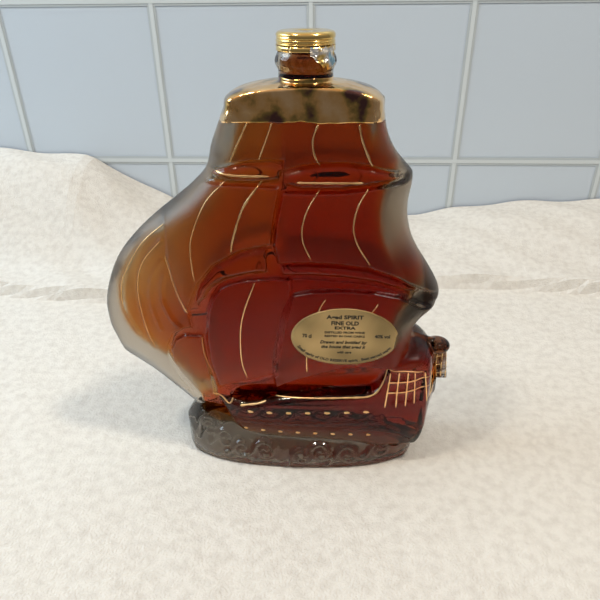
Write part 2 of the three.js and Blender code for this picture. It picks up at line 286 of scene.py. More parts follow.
# Furled rolls of sail on the yards, clear and glossy.
FORE_TOP_ROLL = [
    (-49, 191), (-38, 195), (-27, 196.8), (-16, 197), (-11, 195), (-13, 188.6), (-25, 187.4), (-38, 187.6),
]
MAIN_TOP_ROLL = [
    (-9.6, 192.2), (-2, 194.8), (8, 196.2), (20, 196.4), (32, 195), (44, 191.4), (50, 189.4),
    (30, 185.8), (18, 184.2), (-2, 184.2), (-9.6, 186.4),
]
FORE_MIDDLE_ROLL = [
    (-20.4, 152.6), (-35, 148.8), (-49, 140.8), (-58, 129.6), (-62, 118), (-56.6, 121.6),
    (-52.6, 128.4), (-44, 134.2), (-31, 137.6), (-20.4, 138.8),
]
MAIN_MIDDLE_ROLL = [
    (-13, 142.8), (4, 143.4), (19, 142.4), (34, 140.4), (50, 135.2), (62, 128.6), (52, 129.6),
    (38, 133.6), (22, 136.2), (2, 137.4), (-13, 137.2),
]
ROLL_ROUNDING = 3.4
ROLLS = [  # outline, height
    (FORE_TOP_ROLL, 2.5), (MAIN_TOP_ROLL, 3.0), (FORE_MIDDLE_ROLL, 2.6), (MAIN_MIDDLE_ROLL, 3.2),
]

# ------------------------------------------------------------------ the grid

# Places where the glass's form is worked out. y is kept for one half and mirrored.
GRID_X = np.arange(-126, 91, CELL)
GRID_Z = np.arange(-2.4, FINISH_FROM + 2.5, CELL)
HALF_Y = np.arange(CELL / 2, BASE_HALF_DEPTH + 3, CELL)
PLAN_X, PLAN_Z = np.meshgrid(GRID_X, GRID_Z, indexing="ij")
GRID_LOW = np.array([GRID_X[0], -HALF_Y[-1], GRID_Z[0]])


def mirrored(half):
    """The whole field from its half at positive y."""
    return np.concatenate([half[:, ::-1], half], axis=1).astype(np.float32)


def line_distance(line):
    """Distance from each plan place to a line of straight spans."""
    x, z = PLAN_X, PLAN_Z
    nearest = np.full(x.shape, 1e9)
    for (ax, az), (bx, bz) in zip(line[:-1], line[1:]):
        ex, ez = bx - ax, bz - az
        t = np.clip(((x - ax) * ex + (z - az) * ez) / max(ex * ex + ez * ez, 1e-9), 0, 1)
        nearest = np.minimum(nearest, (x - ax - t * ex) ** 2 + (z - az - t * ez) ** 2)
    return np.sqrt(nearest)


def inside_distance(outline):
    """Distance from each plan place to a closed outline, positive inside."""
    ring = np.array([*outline, outline[0]], float)
    x, z = PLAN_X, PLAN_Z
    inside = np.zeros(x.shape, bool)
    for (ax, az), (bx, bz) in zip(ring[:-1], ring[1:]):
        if az != bz:
            inside ^= ((az > z) != (bz > z)) & (x < (bx - ax) * (z - az) / (bz - az) + ax)
    return np.where(inside, 1, -1) * line_distance(ring)


def slab(distance, depth, edge):
    """A rounded slab: full half depth away from its outline, an ellipse within its edge width."""
    rim = np.clip((edge - distance) / edge, 0, None) ** 2
    depth = np.maximum(depth, 0.5)
    shell = np.sqrt(rim[:, None, :] + (HALF_Y[None, :, None] / depth[:, None, :]) ** 2)
    return (shell - 1) * np.minimum(depth, 16)[:, None, :]


def blend(a, b, width):
    """Union of two fields with a soft fillet."""
    mix = np.clip(0.5 + 0.5 * (b - a) / width, 0, 1)
    return b + (a - b) * mix - width * mix * (1 - mix)


def sample(field, places):
    """The field at any places, by trilinear interpolation."""
    at = np.clip((places - GRID_LOW) / CELL, 0, np.array(field.shape) - 1.001)
    i = at.astype(int)
    f = at - i
    total = 0
    for corner in np.ndindex(2, 2, 2):
        weight = np.where(corner, f, 1 - f).prod(axis=1)
        total = total + weight * field[tuple((i + corner).T)]
    return total


def slope_of(field, places):
    """The field's slope at any places, taken over one cell."""
    reach = 0.5 * CELL
    return np.stack([
        sample(field, places + reach * e) - sample(field, places - reach * e) for e in np.eye(3)
    ], axis=1) / CELL


def unit(vectors):
    return vectors / np.maximum(np.linalg.norm(vectors, axis=1, keepdims=True), 1e-9)


def surface(field):
    """A quad mesh where the field is zero: one vertex in each cell that the surface crosses."""
    inside = field < 0
    shape = np.array(field.shape)
    strides = np.array([shape[1] * shape[2], shape[2], 1])
    cells, places, quads, flips = [], [], [], []
    for axis in range(3):
        step = np.eye(3, dtype=int)[axis]
        near = tuple(slice(0, -1) if k == axis else slice(1, -1) for k in range(3))
        far = tuple(slice(1, None) if k == axis else slice(1, -1) for k in range(3))
        crossing = np.argwhere(inside[near] != inside[far])
        crossing += np.array([0 if k == axis else 1 for k in range(3)])
        a = field[tuple(crossing.T)]
        b = field[tuple((crossing + step).T)]
        point = crossing + step * (a / (a - b))[:, None]
        u, v = [np.eye(3, dtype=int)[k] for k in range(3) if k != axis]
        corners = [crossing - u - v, crossing - v, crossing, crossing - u]
        keys = [c @ strides for c in corners]
        for key in keys:
            cells.append(key)
            places.append(point)
        quads.append(np.stack(keys, axis=1))
        flips.append((a < 0) == (axis == 1))
    cells = np.concatenate(cells)
    places = np.concatenate(places)
    unique, index = np.unique(cells, return_inverse=True)
    count = np.bincount(index)
    vertices = np.stack([np.bincount(index, places[:, k]) / count for k in range(3)], axis=1)
    quads = np.searchsorted(unique, np.concatenate(quads))
    flips = np.concatenate(flips)
    quads[flips] = quads[flips][:, ::-1]
    return vertices * CELL + GRID_LOW, quads


def settle(vertices, field, rounds=2):
    """Draws vertices onto the zero of the field."""
    for _ in range(rounds):
        slope = slope_of(field, vertices)
        size = np.maximum((slope**2).sum(axis=1), 0.05)
        move = -(sample(field, vertices) / size)[:, None] * slope
        length = np.linalg.norm(move, axis=1, keepdims=True)
        vertices = vertices + move * np.minimum(1, 0.4 * CELL / np.maximum(length, 1e-9))
    return vertices


def relax(vertices, quads, rounds=4):
    """Evens out the grid's own ripple without shrinking the form."""
    a, b = quads.ravel(), np.roll(quads, -1, axis=1).ravel()
    ends, others = np.concatenate([a, b]), np.concatenate([b, a])
    count = np.bincount(ends, minlength=len(vertices))
    for _ in range(rounds):
        for step in (0.5, -0.53):
            sums = [np.bincount(ends, vertices[others, k], len(vertices)) for k in range(3)]
            vertices = vertices + step * (np.stack(sums, axis=1) / count[:, None] - vertices)
    return vertices


def skinned(half):
    """An even mesh of a solid, from its field over one half."""
    field = mirrored(half)
    vertices, quads = surface(field)
    return relax(settle(vertices, field), quads), quads


# ------------------------------------------------------------------ the glass's form


def sail_relief():
    """How far the sails and furled rolls stand proud, and how frosted each place is."""
    relief, frost = np.zeros(PLAN_X.shape), np.zeros(PLAN_X.shape)
    clear = np.ones(PLAN_X.shape)
    for outline, proud, swell, border, polish in SAILS:
        distance = inside_distance(outline)
        height = proud * smoothstep(distance, -border, border)
        height += swell * (1 - np.exp(-np.clip(distance, 0, None) / 14))
        relief = np.maximum(relief, np.where(distance > -border, height, 0))
        frost = np.maximum(frost, smoothstep(distance, -0.5, 0.5))
        clear = np.minimum(clear, 1 - polish * hump(distance, 0.9))
    for outline, height in ROLLS:
        distance = np.clip(inside_distance(outline), 0, ROLL_ROUNDING)
        round_top = np.sqrt(np.clip(1 - (1 - distance / ROLL_ROUNDING) ** 2, 0, 1))
        relief = np.maximum(relief, height * round_top)
    for points in JIB_CREASES:
        relief += 0.9 * hump(line_distance(smooth_line(points, 4)), 1.2) * (frost > 0.5)
    return relief, frost * clear


def deck_relief():
    """A few worn lumps of rail and deck house between the gunwale and the foot of the sails."""
    x, z = PLAN_X, PLAN_Z
    foot = 66 + 0.16 * (x + 10)
    lumps = [(2, 1.5, 1.6), (12, 2.5, 1.3), (20, 1.5, 3.4), (31, 2.0, 1.5), (38, 1.2, 1.3)]
    along = sum(height * hump(x - at, width) for at, height, width in lumps)
    return 0.6 * along * hump(z - foot, 1.7)


def wave_relief():
    """A raised curl for each breaking wave, over a slow swell."""
    x, z = PLAN_X, PLAN_Z
    relief = 0.45 * np.sin(x / 6.0 + z / 4.0) * np.sin(z / 6.0 + x / 31)
    for cx, cz, size, lean in SCROLLS:
        turn = np.array([[math.cos(lean), math.sin(lean)], [-math.sin(lean), math.cos(lean)]])
        curl = size * np.array(CURL) @ turn + (cx, cz)
        away = line_distance(smooth_line(curl, 4))
        ridge, trough_beside = 1.7 * hump(away, 1.3), 0.5 * hump(away - 2.8, 1.3)
        relief += ridge - trough_beside
    return relief


def hull_relief():
    """Wales along the hull's side, which rise with the sheer towards the stern."""
    x, z = PLAN_X, PLAN_Z
    sheer = 0.0005 * (x + 10) ** 2 + 0.03 * x
    wales = [(28.2, 0.3), (32.4, 0.45), (47.0, 0.3)]
    relief = sum(height * hump(z - sheer - level, 1.1) for level, height in wales)
    return relief * (1 - smoothstep(x, 42, 50)) + gallery_relief(x, z)


def gallery_relief(x, z):
    """The stern gallery's window panes, sunk a little between their bars."""
    across = np.abs(((x - 50.2) / 5.3) % 1 - 0.5) * 2
    up = np.abs(((z - 58.4 - 0.03 * (x - 50)) / 8) % 1 - 0.5) * 2
    pane = smoothstep(0.85 - across, 0, 0.35) * smoothstep(0.9 - up, 0, 0.3)
    near = (x > 50) & (x < 71.5) & (z > 50.4) & (z < 74)
    return -0.7 * pane * near


def ball(centre, reach):
    """An ellipsoid on the keel plane."""
    away = np.sqrt(
        ((GRID_X[:, None, None] - centre[0]) / reach[0]) ** 2 + (HALF_Y[None, :, None] / reach[1]) ** 2
        + ((GRID_Z[None, None, :] - centre[1]) / reach[2]) ** 2
    )
    return (away - 1) * min(reach)


def sail_depth(x, z):
    """Half depth of the sails before their relief; the jib is thinner."""
    return SAIL_DEPTH(z) * (1 - JIB_THINNING * (1 - smoothstep(x, -105, -48)))


def outside_field():
    """The glass's outside, and how frosted each plan place is."""
    x, z = PLAN_X, PLAN_Z
    relief, frost = sail_relief()
    deck = smoothstep(z - HULL_TOP(x), -1.4, -0.6) * smoothstep(x, -60, -56)
    deck *= (1 - smoothstep(x, 44, 47)) * (z < 78)
    from_side = np.minimum(x - FORE_EDGE(z), AFT_EDGE(z) - x)
    rim = (1 - smoothstep(from_side, 4, 8)) * smoothstep(z, 90, 96)
    frost = np.maximum(frost, np.maximum(0.5 * deck, 0.85 * rim))

    on_sails = 1 - smoothstep(z, 205, 218)
    depth = sail_depth(x, z) - SUNK * on_sails + relief * on_sails + deck_relief()
    corner = 1 - np.sqrt(1 - (1 - np.clip(from_side / 7, 0, 1)) ** 2)
    depth *= 1 - corner * smoothstep(z, 216, 223)
    edge = 1.8 + 4.7 * (1 - smoothstep(z, 216, 223)) + 7.5 * (1 - smoothstep(z, 196, 216))
    sails = slab(inside_distance(sail_outline()), depth, edge)
    hull = slab(inside_distance(hull_outline()), BEAM(x) + hull_relief(), HULL_ROUNDING)

    along = np.clip(np.abs(x - BASE_MIDDLE) / BASE_HALF_LENGTH, 0, 1)
    plan = (1 - along**2.4) ** (1 / 2.4)
    wave_depth = (BASE_HALF_DEPTH - 1.4) * plan * (1 - 0.27 * smoothstep(z, 6, 30))
    wave_depth += wave_relief() * smoothstep(z, 0, 3) * smoothstep(plan, 0.1, 0.5)
    waves = slab(inside_distance(wave_outline()), wave_depth, WAVE_ROUNDING)

    leaning = np.abs(x - LANTERN_MIDDLE[0] + LANTERN_LEAN * (z - 66)) - LANTERN_HALF[0]
    lantern_reach = np.maximum(leaning, np.abs(z - LANTERN_MIDDLE[1]) - LANTERN_HALF[1])
    lantern = slab(-lantern_reach, LANTERN_DEPTH + 0.5 * np.cos(z * 0.9), LANTERN_ROUNDING)
    along_boom = np.clip((x - BOOM_FOOT[0]) / BOOM_RUN, 0, 1)
    off_boom = np.hypot(x - BOOM_FOOT[0] - BOOM_RUN * along_boom, z - BOOM_FOOT[1] + BOOM_FALL * along_boom)
    boom = np.hypot(off_boom[:, None, :], HALF_Y[None, :, None]) - BOOM_RADIUS

    field = sails
    for other, fillet in (
        (hull, 1.2), (waves, 0.8), (lantern, 1.2), (ball(KNOB_MIDDLE, KNOB_REACH), 1.0), (boom, 1.0),
        (neck_field(), 1.6),
    ):
        field = blend(field, other, fillet)
    field = np.maximum(field, -z[:, None, :])
    recess = np.maximum(z[:, None, :] - BASE_RECESS, base_plan())
    return np.maximum(field, -recess), frost


def neck_field():
    radius = through([
        (228, 13.4), (235, 13.4), (237, 13.35), (238.6, 13.5), (240.6, 14.6), (242.4, 15.0), (244.2, 14.6),
        (245.6, 13.8), (246.6, 13.4), (246.9, 12.5), (250, NECK_RADIUS),
    ])
    away = np.hypot(GRID_X[:, None], HALF_Y[None, :])
    field = away[:, :, None] - radius(GRID_Z)[None, None, :]
    return np.maximum(field, 228 - GRID_Z[None, None, :])


def base_plan():
    """Outline of the shallow recess under the base."""
    x = np.abs(GRID_X - BASE_MIDDLE) / (BASE_HALF_LENGTH - BASE_RIM)
    y = HALF_Y / (BASE_HALF_DEPTH - BASE_RIM)
    return (((x[:, None] ** 2.5 + y[None, :] ** 2.5) ** 0.4) - 1)[:, :, None] * 20


CAVITY_OUTLINE = [
    (-1, 229), (24, 226), (33, 217), (36, 208), (40, 199), (44.5, 191), (45, 183), (42.6, 172), (44, 158),
    (49, 146), (56.5, 135.5), (61, 125), (60, 117), (56.4, 110), (54, 100), (54, 89), (59, 82),
    (68, 80), (77, 76), (81.5, 62), (79.5, 42), (74, 22), (62, 9.5), (50, 8), (42, 9.5), (32, 13), (10, 14.5),
    (-14, 15), (-34, 16), (-46, 18.5), (-58, 22), (-66, 26), (-70, 32), (-68.5, 40), (-71, 50),
    (-79, 64), (-94, 76), (-105, 85), (-111, 97), (-110.6, 116), (-107.6, 126), (-97, 141.5),
    (-88, 150.5), (-77, 155), (-63, 164.5), (-52, 174.5), (-43.5, 189), (-39.5, 200), (-36, 212), (-29, 223),
]


def cavity_field():
    """The space that the spirit fills, drawn in from the outside by the glass's thickness."""
    x, z = PLAN_X, PLAN_Z
    distance = inside_distance(smooth_line(CAVITY_OUTLINE, 3, closed=True))
    thin_bow = 0.34 * (1 - smoothstep(x, -24, -6)) + 0.24 * (1 - smoothstep(x, -75, -35))
    thin_bow *= smoothstep(z, 100, 140)
    thin_bow += 0.3 * (1 - smoothstep(x, -68, -50)) * (1 - smoothstep(z, 112, 140))
    upper = (sail_depth(x, z) - GLASS_WALL) * (1 - thin_bow)
    lower = BEAM(x) - HULL_WALL + 1.6 * smoothstep(x, 66, 73)
    lower = np.maximum(lower, 14 * (1 - smoothstep(z, 36, 48)))
    in_hull = 1 - smoothstep(z, 47, 61)
    depth = np.maximum(upper + (lower - upper) * in_hull, 3)
    in_stern = smoothstep(x, 62, 68) * (1 - smoothstep(z, 76, 84))
    edge = 9.5 - 4.8 * np.maximum(in_stern, 1 - smoothstep(z, 40, 60))
    away = np.hypot(GRID_X[:, None], HALF_Y[None, :])[:, :, None]
    bore = np.maximum(away - NECK_BORE, 220 - GRID_Z[None, None, :])
    return blend(slab(distance, depth, edge), bore, 2.0)


# ------------------------------------------------------------------ meshes


def full_turn(count):
    """Equal angles round a circle."""
    return np.linspace(0, 2 * math.pi, count, endpoint=False)


def lengths_along(line):
    """How far along a line of points each one lies."""
    return np.concatenate([[0], np.cumsum(np.linalg.norm(np.diff(line, axis=0), axis=1))])


def add_object(name, data):
    obj = bpy.data.objects.new(name, data)
    bpy.context.scene.collection.objects.link(obj)
    return obj


def mesh_object(name, shape, look, smooth=True, attributes=None):
    """A new object from vertices in mm (x = 0 on the neck's axis) and faces of any one size."""
    vertices, faces = shape
    mesh = bpy.data.meshes.new(name)
    places = (np.asarray(vertices, float) + np.array([NECK_X, 0, 0])) * MM
    if isinstance(faces, np.ndarray):
        count, size = faces.shape
        mesh.vertices.add(len(places))
        mesh.vertices.foreach_set("co", places.ravel())
        mesh.loops.add(count * size)
        mesh.loops.foreach_set("vertex_index", faces.ravel().astype(np.int32))
        mesh.polygons.add(count)
        mesh.polygons.foreach_set("loop_start", np.arange(0, count * size, size, dtype=np.int32))
        mesh.update(calc_edges=True)
    else:
        mesh.from_pydata([tuple(p) for p in places], [], faces)
    mesh.validate()
    if smooth:
        mesh.polygons.foreach_set("use_smooth", np.ones(len(mesh.polygons), bool))
    for key, values in (attributes or {}).items():
        layer = mesh.attributes.new(key, "FLOAT", "POINT")
        layer.data.foreach_set("value", np.asarray(values, np.float32))
    mesh.materials.append(look)
    return add_object(name, mesh)


def ring_strip(rings, closed_rings=False, caps=True):
    """Faces that join rings of equal size; caps closes the first and last ring."""
    rings = np.asarray(rings)
    count, around = rings.shape[:2]
    faces = []
    spans = count if closed_rings else count - 1
    for r in range(spans):
        a, b = r * around, ((r + 1) % count) * around
        for i in range(around):
            j = (i + 1) % around
            faces.append((a + i, a + j, b + j, b + i))
    if caps and not closed_rings:
        faces.append(tuple(range(around))[::-1])
        last = (count - 1) * around
        faces.append(tuple(last + i for i in range(around)))
    return rings.reshape(-1, 3), faces


def shell(front, back, closed=False):
    """A thin sheet from two equal grids of points, the front seen anticlockwise.

    The sheet has an edge all round, or its last column is joined to the first.
    """
    rows, columns = front.shape[:2]
    top, side = rows - 1, columns - 1
    faces = []

    def at(layer, r, c):
        return (layer * rows + r) * columns + c % columns

    for c in range(columns if closed else side):
        for r in range(top):
            faces.append((at(0, r, c), at(0, r, c + 1), at(0, r + 1, c + 1), at(0, r + 1, c)))
            faces.append((at(1, r, c), at(1, r + 1, c), at(1, r + 1, c + 1), at(1, r, c + 1)))
        faces.append((at(0, 0, c + 1), at(0, 0, c), at(1, 0, c), at(1, 0, c + 1)))
        faces.append((at(0, top, c), at(0, top, c + 1), at(1, top, c + 1), at(1, top, c)))
    for r in range(0 if closed else top):
        faces.append((at(0, r, 0), at(0, r + 1, 0), at(1, r + 1, 0), at(1, r, 0)))
        faces.append((at(0, r + 1, side), at(0, r, side), at(1, r, side), at(1, r + 1, side)))
    return np.concatenate([front.reshape(-1, 3), back.reshape(-1, 3)]), faces


def merge(shapes):
    """Joins shapes, each its vertices and faces, into one."""
    vertices, faces, base = [], [], 0
    for part_vertices, part_faces in shapes:
        vertices.append(np.asarray(part_vertices, float))
        faces += [tuple(base + i for i in face) for face in part_faces]
        base += len(part_vertices)
    return np.concatenate(vertices), faces


def lathe(profile, segments, shift=lambda angle, z: 0):
    """A closed [radius, z] profile turned about the neck's axis; shift(angle, z) adds to the radius."""
    radius, z = np.array(profile, float).T
    rings = []
    for a in full_turn(segments):
        r = radius + shift(a, z)
        rings.append(np.stack([r * math.cos(a), r * math.sin(a), z], axis=1))
    return ring_strip(rings, closed_rings=True)


# ------------------------------------------------------------------ materials


def node(tree, kind, **values):
    """A new node with its inputs or settings; an input's name has _ for each space."""
    made = tree.nodes.new(kind)
    for key, value in values.items():
        socket = key.replace("_", " ")
        if socket in made.inputs:
            made.inputs[socket].default_value = value
        else:
            setattr(made, key, value)
    return made


def material(name, **values):
    """A new material with its shader's inputs set; an input's name has _ for each space."""
    made = bpy.data.materials.new(name)
    made.use_nodes = True
    shader = made.node_tree.nodes["Principled BSDF"]
    for key, value in values.items():
        shader.inputs[key.replace("_", " ")].default_value = value
    return made, made.node_tree, shader


def plain(name, colour, roughness, **values):
    return material(name, Base_Color=(*colour, 1), Roughness=roughness, **values)[0]


def absorb(tree, colour, density):
    volume = node(tree, "ShaderNodeVolumeAbsorption", Color=(*colour, 1), Density=density)
    tree.links.new(volume.outputs["Volume"], tree.nodes["Material Output"].inputs["Volume"])


def from_attribute(tree, name):
    return node(tree, "ShaderNodeAttribute", attribute_name=name).outputs["Fac"]


def between(tree, factor, low, high, **limits):
    """A number that runs from low to high with a factor."""
    stretch = node(tree, "ShaderNodeMapRange", To_Min=low, To_Max=high, **limits)
    tree.links.new(factor, stretch.inputs["Value"])
    return stretch.outputs["Result"]


def blended(tree, factor, low, high):
    """A colour that runs from low to high with a factor."""
    mix = node(tree, "ShaderNodeMix", data_type="RGBA")
    mix.inputs["A"].default_value = (*low, 1)
    mix.inputs["B"].default_value = (*high, 1)
    tree.links.new(factor, mix.inputs["Factor"])
    return mix.outputs["Result"]


def colour_ramp(tree, factor, stops):
    """A colour that runs through stops, each a position and a colour."""
    ramp = node(tree, "ShaderNodeValToRGB")
    while len(ramp.color_ramp.elements) < len(stops):
        ramp.color_ramp.elements.new(0.5)
    for element, (position, colour) in zip(ramp.color_ramp.elements, stops):
        element.position = position
        element.color = (*colour, 1)
    tree.links.new(factor, ramp.inputs["Fac"])
    return ramp.outputs["Color"]


def soft_noise(tree, scale, detail):
    """Noise that is fixed to the object."""
    place = node(tree, "ShaderNodeTexCoord")
    noise = node(tree, "ShaderNodeTexNoise", Scale=scale, Detail=detail)
    tree.links.new(place.outputs["Object"], noise.inputs["Vector"])
    return noise.outputs["Fac"]


def add_bump(tree, shader, height, strength, distance):
    bump = node(tree, "ShaderNodeBump", Strength=strength, Distance=distance)
    tree.links.new(height, bump.inputs["Height"])
    tree.links.new(bump.outputs["Normal"], shader.inputs["Normal"])


def mottled(name, scale, detail, stops, **values):
    """A material whose colour wanders through stops."""
    made, tree, shader = material(name, **values)
    tree.links.new(colour_ramp(tree, soft_noise(tree, scale, detail), stops), shader.inputs["Base Color"])
    return made, tree, shader


def gilt(name, stops, scale, roughness, unevenness):
    """Burnt liquid gold, thin and streaky where the brush ran dry; where its stops run dark and bright, the
    wandering colour is painted reflection.
    """
    made, tree, shader = mottled(name, scale, 4.0, stops, Metallic=1.0, Roughness=roughness)
    add_bump(tree, shader, soft_noise(tree, 75.0, 2.0), unevenness, 0.0015)
    return made


def glass_material():
    """Clear moulded glass, etched over the sails, tinted brown on the stern lantern's hood, along the boom
    and inside the neck.
    """
    made, tree, shader = material("moulded_glass", Transmission_Weight=1.0)
    wet, frost, brown_tint, shine = (from_attribute(tree, name) for name in ("wet", "frost", "brown_tint", "shine"))
    for looks, socket in (
        (between(tree, wet, GLASS_IOR, GLASS_IOR / SPIRIT_IOR), "IOR"),
        (between(tree, frost, 0.03, 0.38), "Roughness"),
        (blended(tree, brown_tint, (0.94, 0.94, 0.92), (0.20, 0.07, 0.02)), "Base Color"),
        (blended(tree, shine, (0, 0, 0), (1, 1, 1)), "Specular Tint"),
    ):
        tree.links.new(looks, shader.inputs[socket])
    absorb(tree, (0.52, 0.42, 0.30), 50.0)
    return made


def spirit_material():
    """Amber liquid; the wetted glass wall already bends the light by the step between the two."""
    made, tree, _ = material(
        "amber_spirit", Base_Color=(1, 1, 1, 1), Roughness=0.0, IOR=1.001, Transmission_Weight=1.0)
    absorb(tree, (0.878, 0.585, 0.1), 285.0)
    return made


# ------------------------------------------------------------------ the glass and the spirit

half_outside, frost_plan = outside_field()
half_cavity = cavity_field()
outside = mirrored(half_outside)


def plan_value(plan, x, z):
    """A plan map's value at any x and z, by bilinear interpolation."""
    at_x = np.clip((np.asarray(x) - GRID_X[0]) / CELL, 0, len(GRID_X) - 1.001)
    at_z = np.clip((np.asarray(z) - GRID_Z[0]) / CELL, 0, len(GRID_Z) - 1.001)
    i, k = at_x.astype(int), at_z.astype(int)
    f, g = at_x - i, at_z - k
    return (
        plan[i, k] * (1 - f) * (1 - g) + plan[i + 1, k] * f * (1 - g)
        + plan[i, k + 1] * (1 - f) * g + plan[i + 1, k + 1] * f * g
    )


def face_depths():
    """Half depth of the outside over the keel plane."""
    inside = half_outside < 0
    outer = inside.shape[1] - 1 - np.argmax(inside[:, ::-1], axis=1)
    any_inside = inside.any(axis=1)
    outer = np.where(any_inside, np.minimum(outer, inside.shape[1] - 2), 0)
    i, k = np.indices(outer.shape)
    a = half_outside[i, outer, k]
    b = half_outside[i, outer + 1, k]
    depth = HALF_Y[outer] + CELL * np.clip(a / np.minimum(a - b, -1e-6), 0, 1)
    return np.where(any_inside, depth, 0)


FACE = face_depths()


def face_depth(x, z):
    return plan_value(FACE, x, z)


def make_finish():
    """The threaded top of the neck, hidden by the cap until it is unscrewed."""
    heights = np.linspace(FINISH_FROM + 0.02, MOUTH - 0.5, 44)
    bead = 0.6 * hump(heights - BEAD, 0.55)
    outer = list(zip(NECK_RADIUS + bead - 0.3 * smoothstep(heights, 249, 249.8), heights))
    inner = [(NECK_BORE, z) for z in heights[::-4]]
    lip = [
        (LIP_RADIUS, MOUTH - 0.12), (LIP_RADIUS - 0.5, MOUTH), (NECK_BORE + 0.5, MOUTH),
        (NECK_BORE + 0.1, MOUTH - 0.3),
    ]

    def thread(angle, z):
        turn = angle / (2 * math.pi)
        ramp = smoothstep(turn, 0, 0.05) * (1 - smoothstep(turn, 0.68, 0.73))
        ridge = np.exp(-(((z - THREAD_START - THREAD_PITCH * turn) / THREAD_HALF_WIDTH) ** 4))
        return THREAD_HEIGHT * ramp * ridge * (np.arange(len(z)) < len(outer))

    return lathe(outer + lip + inner, 144, thread)


def make_bottle():
    half = np.maximum(half_outside, -half_cavity)
    vertices, quads = skinned(np.maximum(half, GRID_Z[None, None, :] - FINISH_FROM))
    x, y, z = vertices.T
    skin = np.abs(sample(outside, vertices)) < 1.0
    underside = 1 - smoothstep(z, 1.3, 2.2)
    frost = plan_value(frost_plan, x, z) * skin * (1 - smoothstep(z, 222, 224)) * smoothstep(z, 46, 50)
    frost = np.maximum(frost, skin * underside)
    # The hood, the boom and, in streaks, the inside of the neck above z 232 are tinted brown.
    hood = smoothstep(x, 76.5, 79) * smoothstep(z, 52, 56) * (1 - 0.6 * smoothstep(x, 84, 87))
    boom = smoothstep(x, 63, 66) * smoothstep(z - HULL_TOP(x), -2.5, -0.5)
    round_neck = np.arctan2(y, x)
    streaks = 0.5 + 0.12 * np.sin(7 * round_neck) + 0.1 * np.sin(17 * round_neck + z)
    neck_tint = (~skin) * smoothstep(z, 232, 236) * streaks
    shine = 0.5 - 0.08 * frost + 0.5 * (1 - smoothstep(z, 22, 30)) * (z > 2.2)
    looks = {
        "frost": (frost, 0), "wet": ((~skin) * (z < FILL_LEVEL), 0), "shine": (shine, 0.5),
        "brown_tint": (np.maximum(np.maximum(hood, boom), neck_tint), 0),
    }
    finish, finish_faces = make_finish()
    looks = {key: np.concatenate([values, np.full(len(finish), top)]) for key, (values, top) in looks.items()}
    faces = np.concatenate([quads, np.array(finish_faces) + len(vertices)])
    shape = np.concatenate([vertices, finish]), faces
    return mesh_object("bottle_glass", shape, glass_material(), attributes=looks)


def make_spirit():
    shape = skinned(np.maximum(half_cavity - SWELL, GRID_Z[None, None, :] - FILL_LEVEL))
    return mesh_object("spirit_fill", shape, spirit_material())


bottle = make_bottle()
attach(bottle, "bottle")
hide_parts("bottle")

spirit = make_spirit()
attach(spirit, "bottle")
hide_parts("spirit")

# ------------------------------------------------------------------ gilding


def surface_from(centre, directions, furthest):
    """Where rays from a point inside the glass's outline leave it."""
    step = 0.5
    distances = np.arange(0, furthest, step)
    places = centre + directions[:, None, :] * distances[None, :, None]
    values = sample(outside, places.reshape(-1, 3)).reshape(len(directions), -1)
    leaves = (values[:, :-1] < 0) & (values[:, 1:] >= 0)
    first = np.argmax(leaves, axis=1)
    rows = np.arange(len(directions))
    a, b = values[rows, first], values[rows, first + 1]
    reach = distances[first] + step * a / np.minimum(a - b, -1e-6)
    return centre + directions * reach[:, None]


def gilt_shoulder():
    """The fired gold over the shoulder and the neck's foot, brushed to an uneven lower edge."""
    around, up, kept, below = 168, 110, 44, 60
    centre = np.array([-1.0, 0.0, GILT_EDGE + 1.5])
    turns = full_turn(around)
    turn, rise = np.meshgrid(turns, np.radians(np.linspace(-14, 58.6, up)), indexing="ij")
    directions = np.stack([np.cos(turn) * np.cos(rise), np.sin(turn) * np.cos(rise), np.sin(rise)], axis=-1)
    places = surface_from(centre, directions.reshape(-1, 3), 70).reshape(around, up, 3)
    rows = []
    for a, line in zip(turns, places):
        edge = GILT_EDGE + 0.35 * math.sin(3 * a + 0.7) + 0.25 * math.sin(7 * a) + 0.12 * math.sin(19 * a + 1)
        length = lengths_along(line)
        start = np.interp(edge, line[:below, 2], length[:below])
        rising = np.maximum.accumulate(line[below:, 2])
        stop = np.interp(GILT_TOP + 0.3 * math.sin(4 * a), rising, length[below:])
        at = start + (stop - start) * np.linspace(0, 1, kept)
        rows.append(np.stack([np.interp(at, length, line[:, k]) for k in range(3)], axis=1))
    sheet = np.stack(rows, axis=1)
    normal = unit(slope_of(outside, sheet.reshape(-1, 3))).reshape(sheet.shape)
    lift = np.full((kept, 1, 1), 0.10)
    lift[0] = 0.02
    return shell(sheet + normal * lift, sheet - normal * 0.15, closed=True)


def brush_line(points, width, side=-1, lift=0.16):
    """A raised gold stroke that follows the glass over [x, z] points, thinner towards its ends."""
    x, z = smooth_line(points, 1.0).T
    y = np.convolve(np.pad(face_depth(x, z), 2, mode="edge"), [0.1, 0.2, 0.4, 0.2, 0.1], mode="valid")
    line = np.stack([x, side * y, z], axis=1)
    along = unit(np.gradient(line, axis=0))
    normal = unit(slope_of(outside, line))
    normal[:, 1] = side * np.maximum(np.abs(normal[:, 1]), 0.35)
    across = unit(np.cross(along, normal))
    normal = np.cross(across, along)
    share = np.linspace(0, 1, len(line))
    taper = np.minimum(1, 0.35 + share * 9) * np.minimum(1, 0.35 + (1 - share) * 9)
    wobble = 1 + 0.16 * np.sin(share * len(line) * 0.9) + 0.1 * np.sin(share * len(line) * 0.37 + 2)
    half = (width / 2 * taper * wobble)[:, None]
    section = [(-1, -0.5), (-0.95, 0.25), (-0.5, 0.85), (0, 1), (0.5, 0.85), (0.95, 0.25), (1, -0.5)]
    rings = np.stack([line + across * half * u + normal * lift * v for u, v in section], axis=1)
    return ring_strip(rings[:, ::-1] if side > 0 else rings)


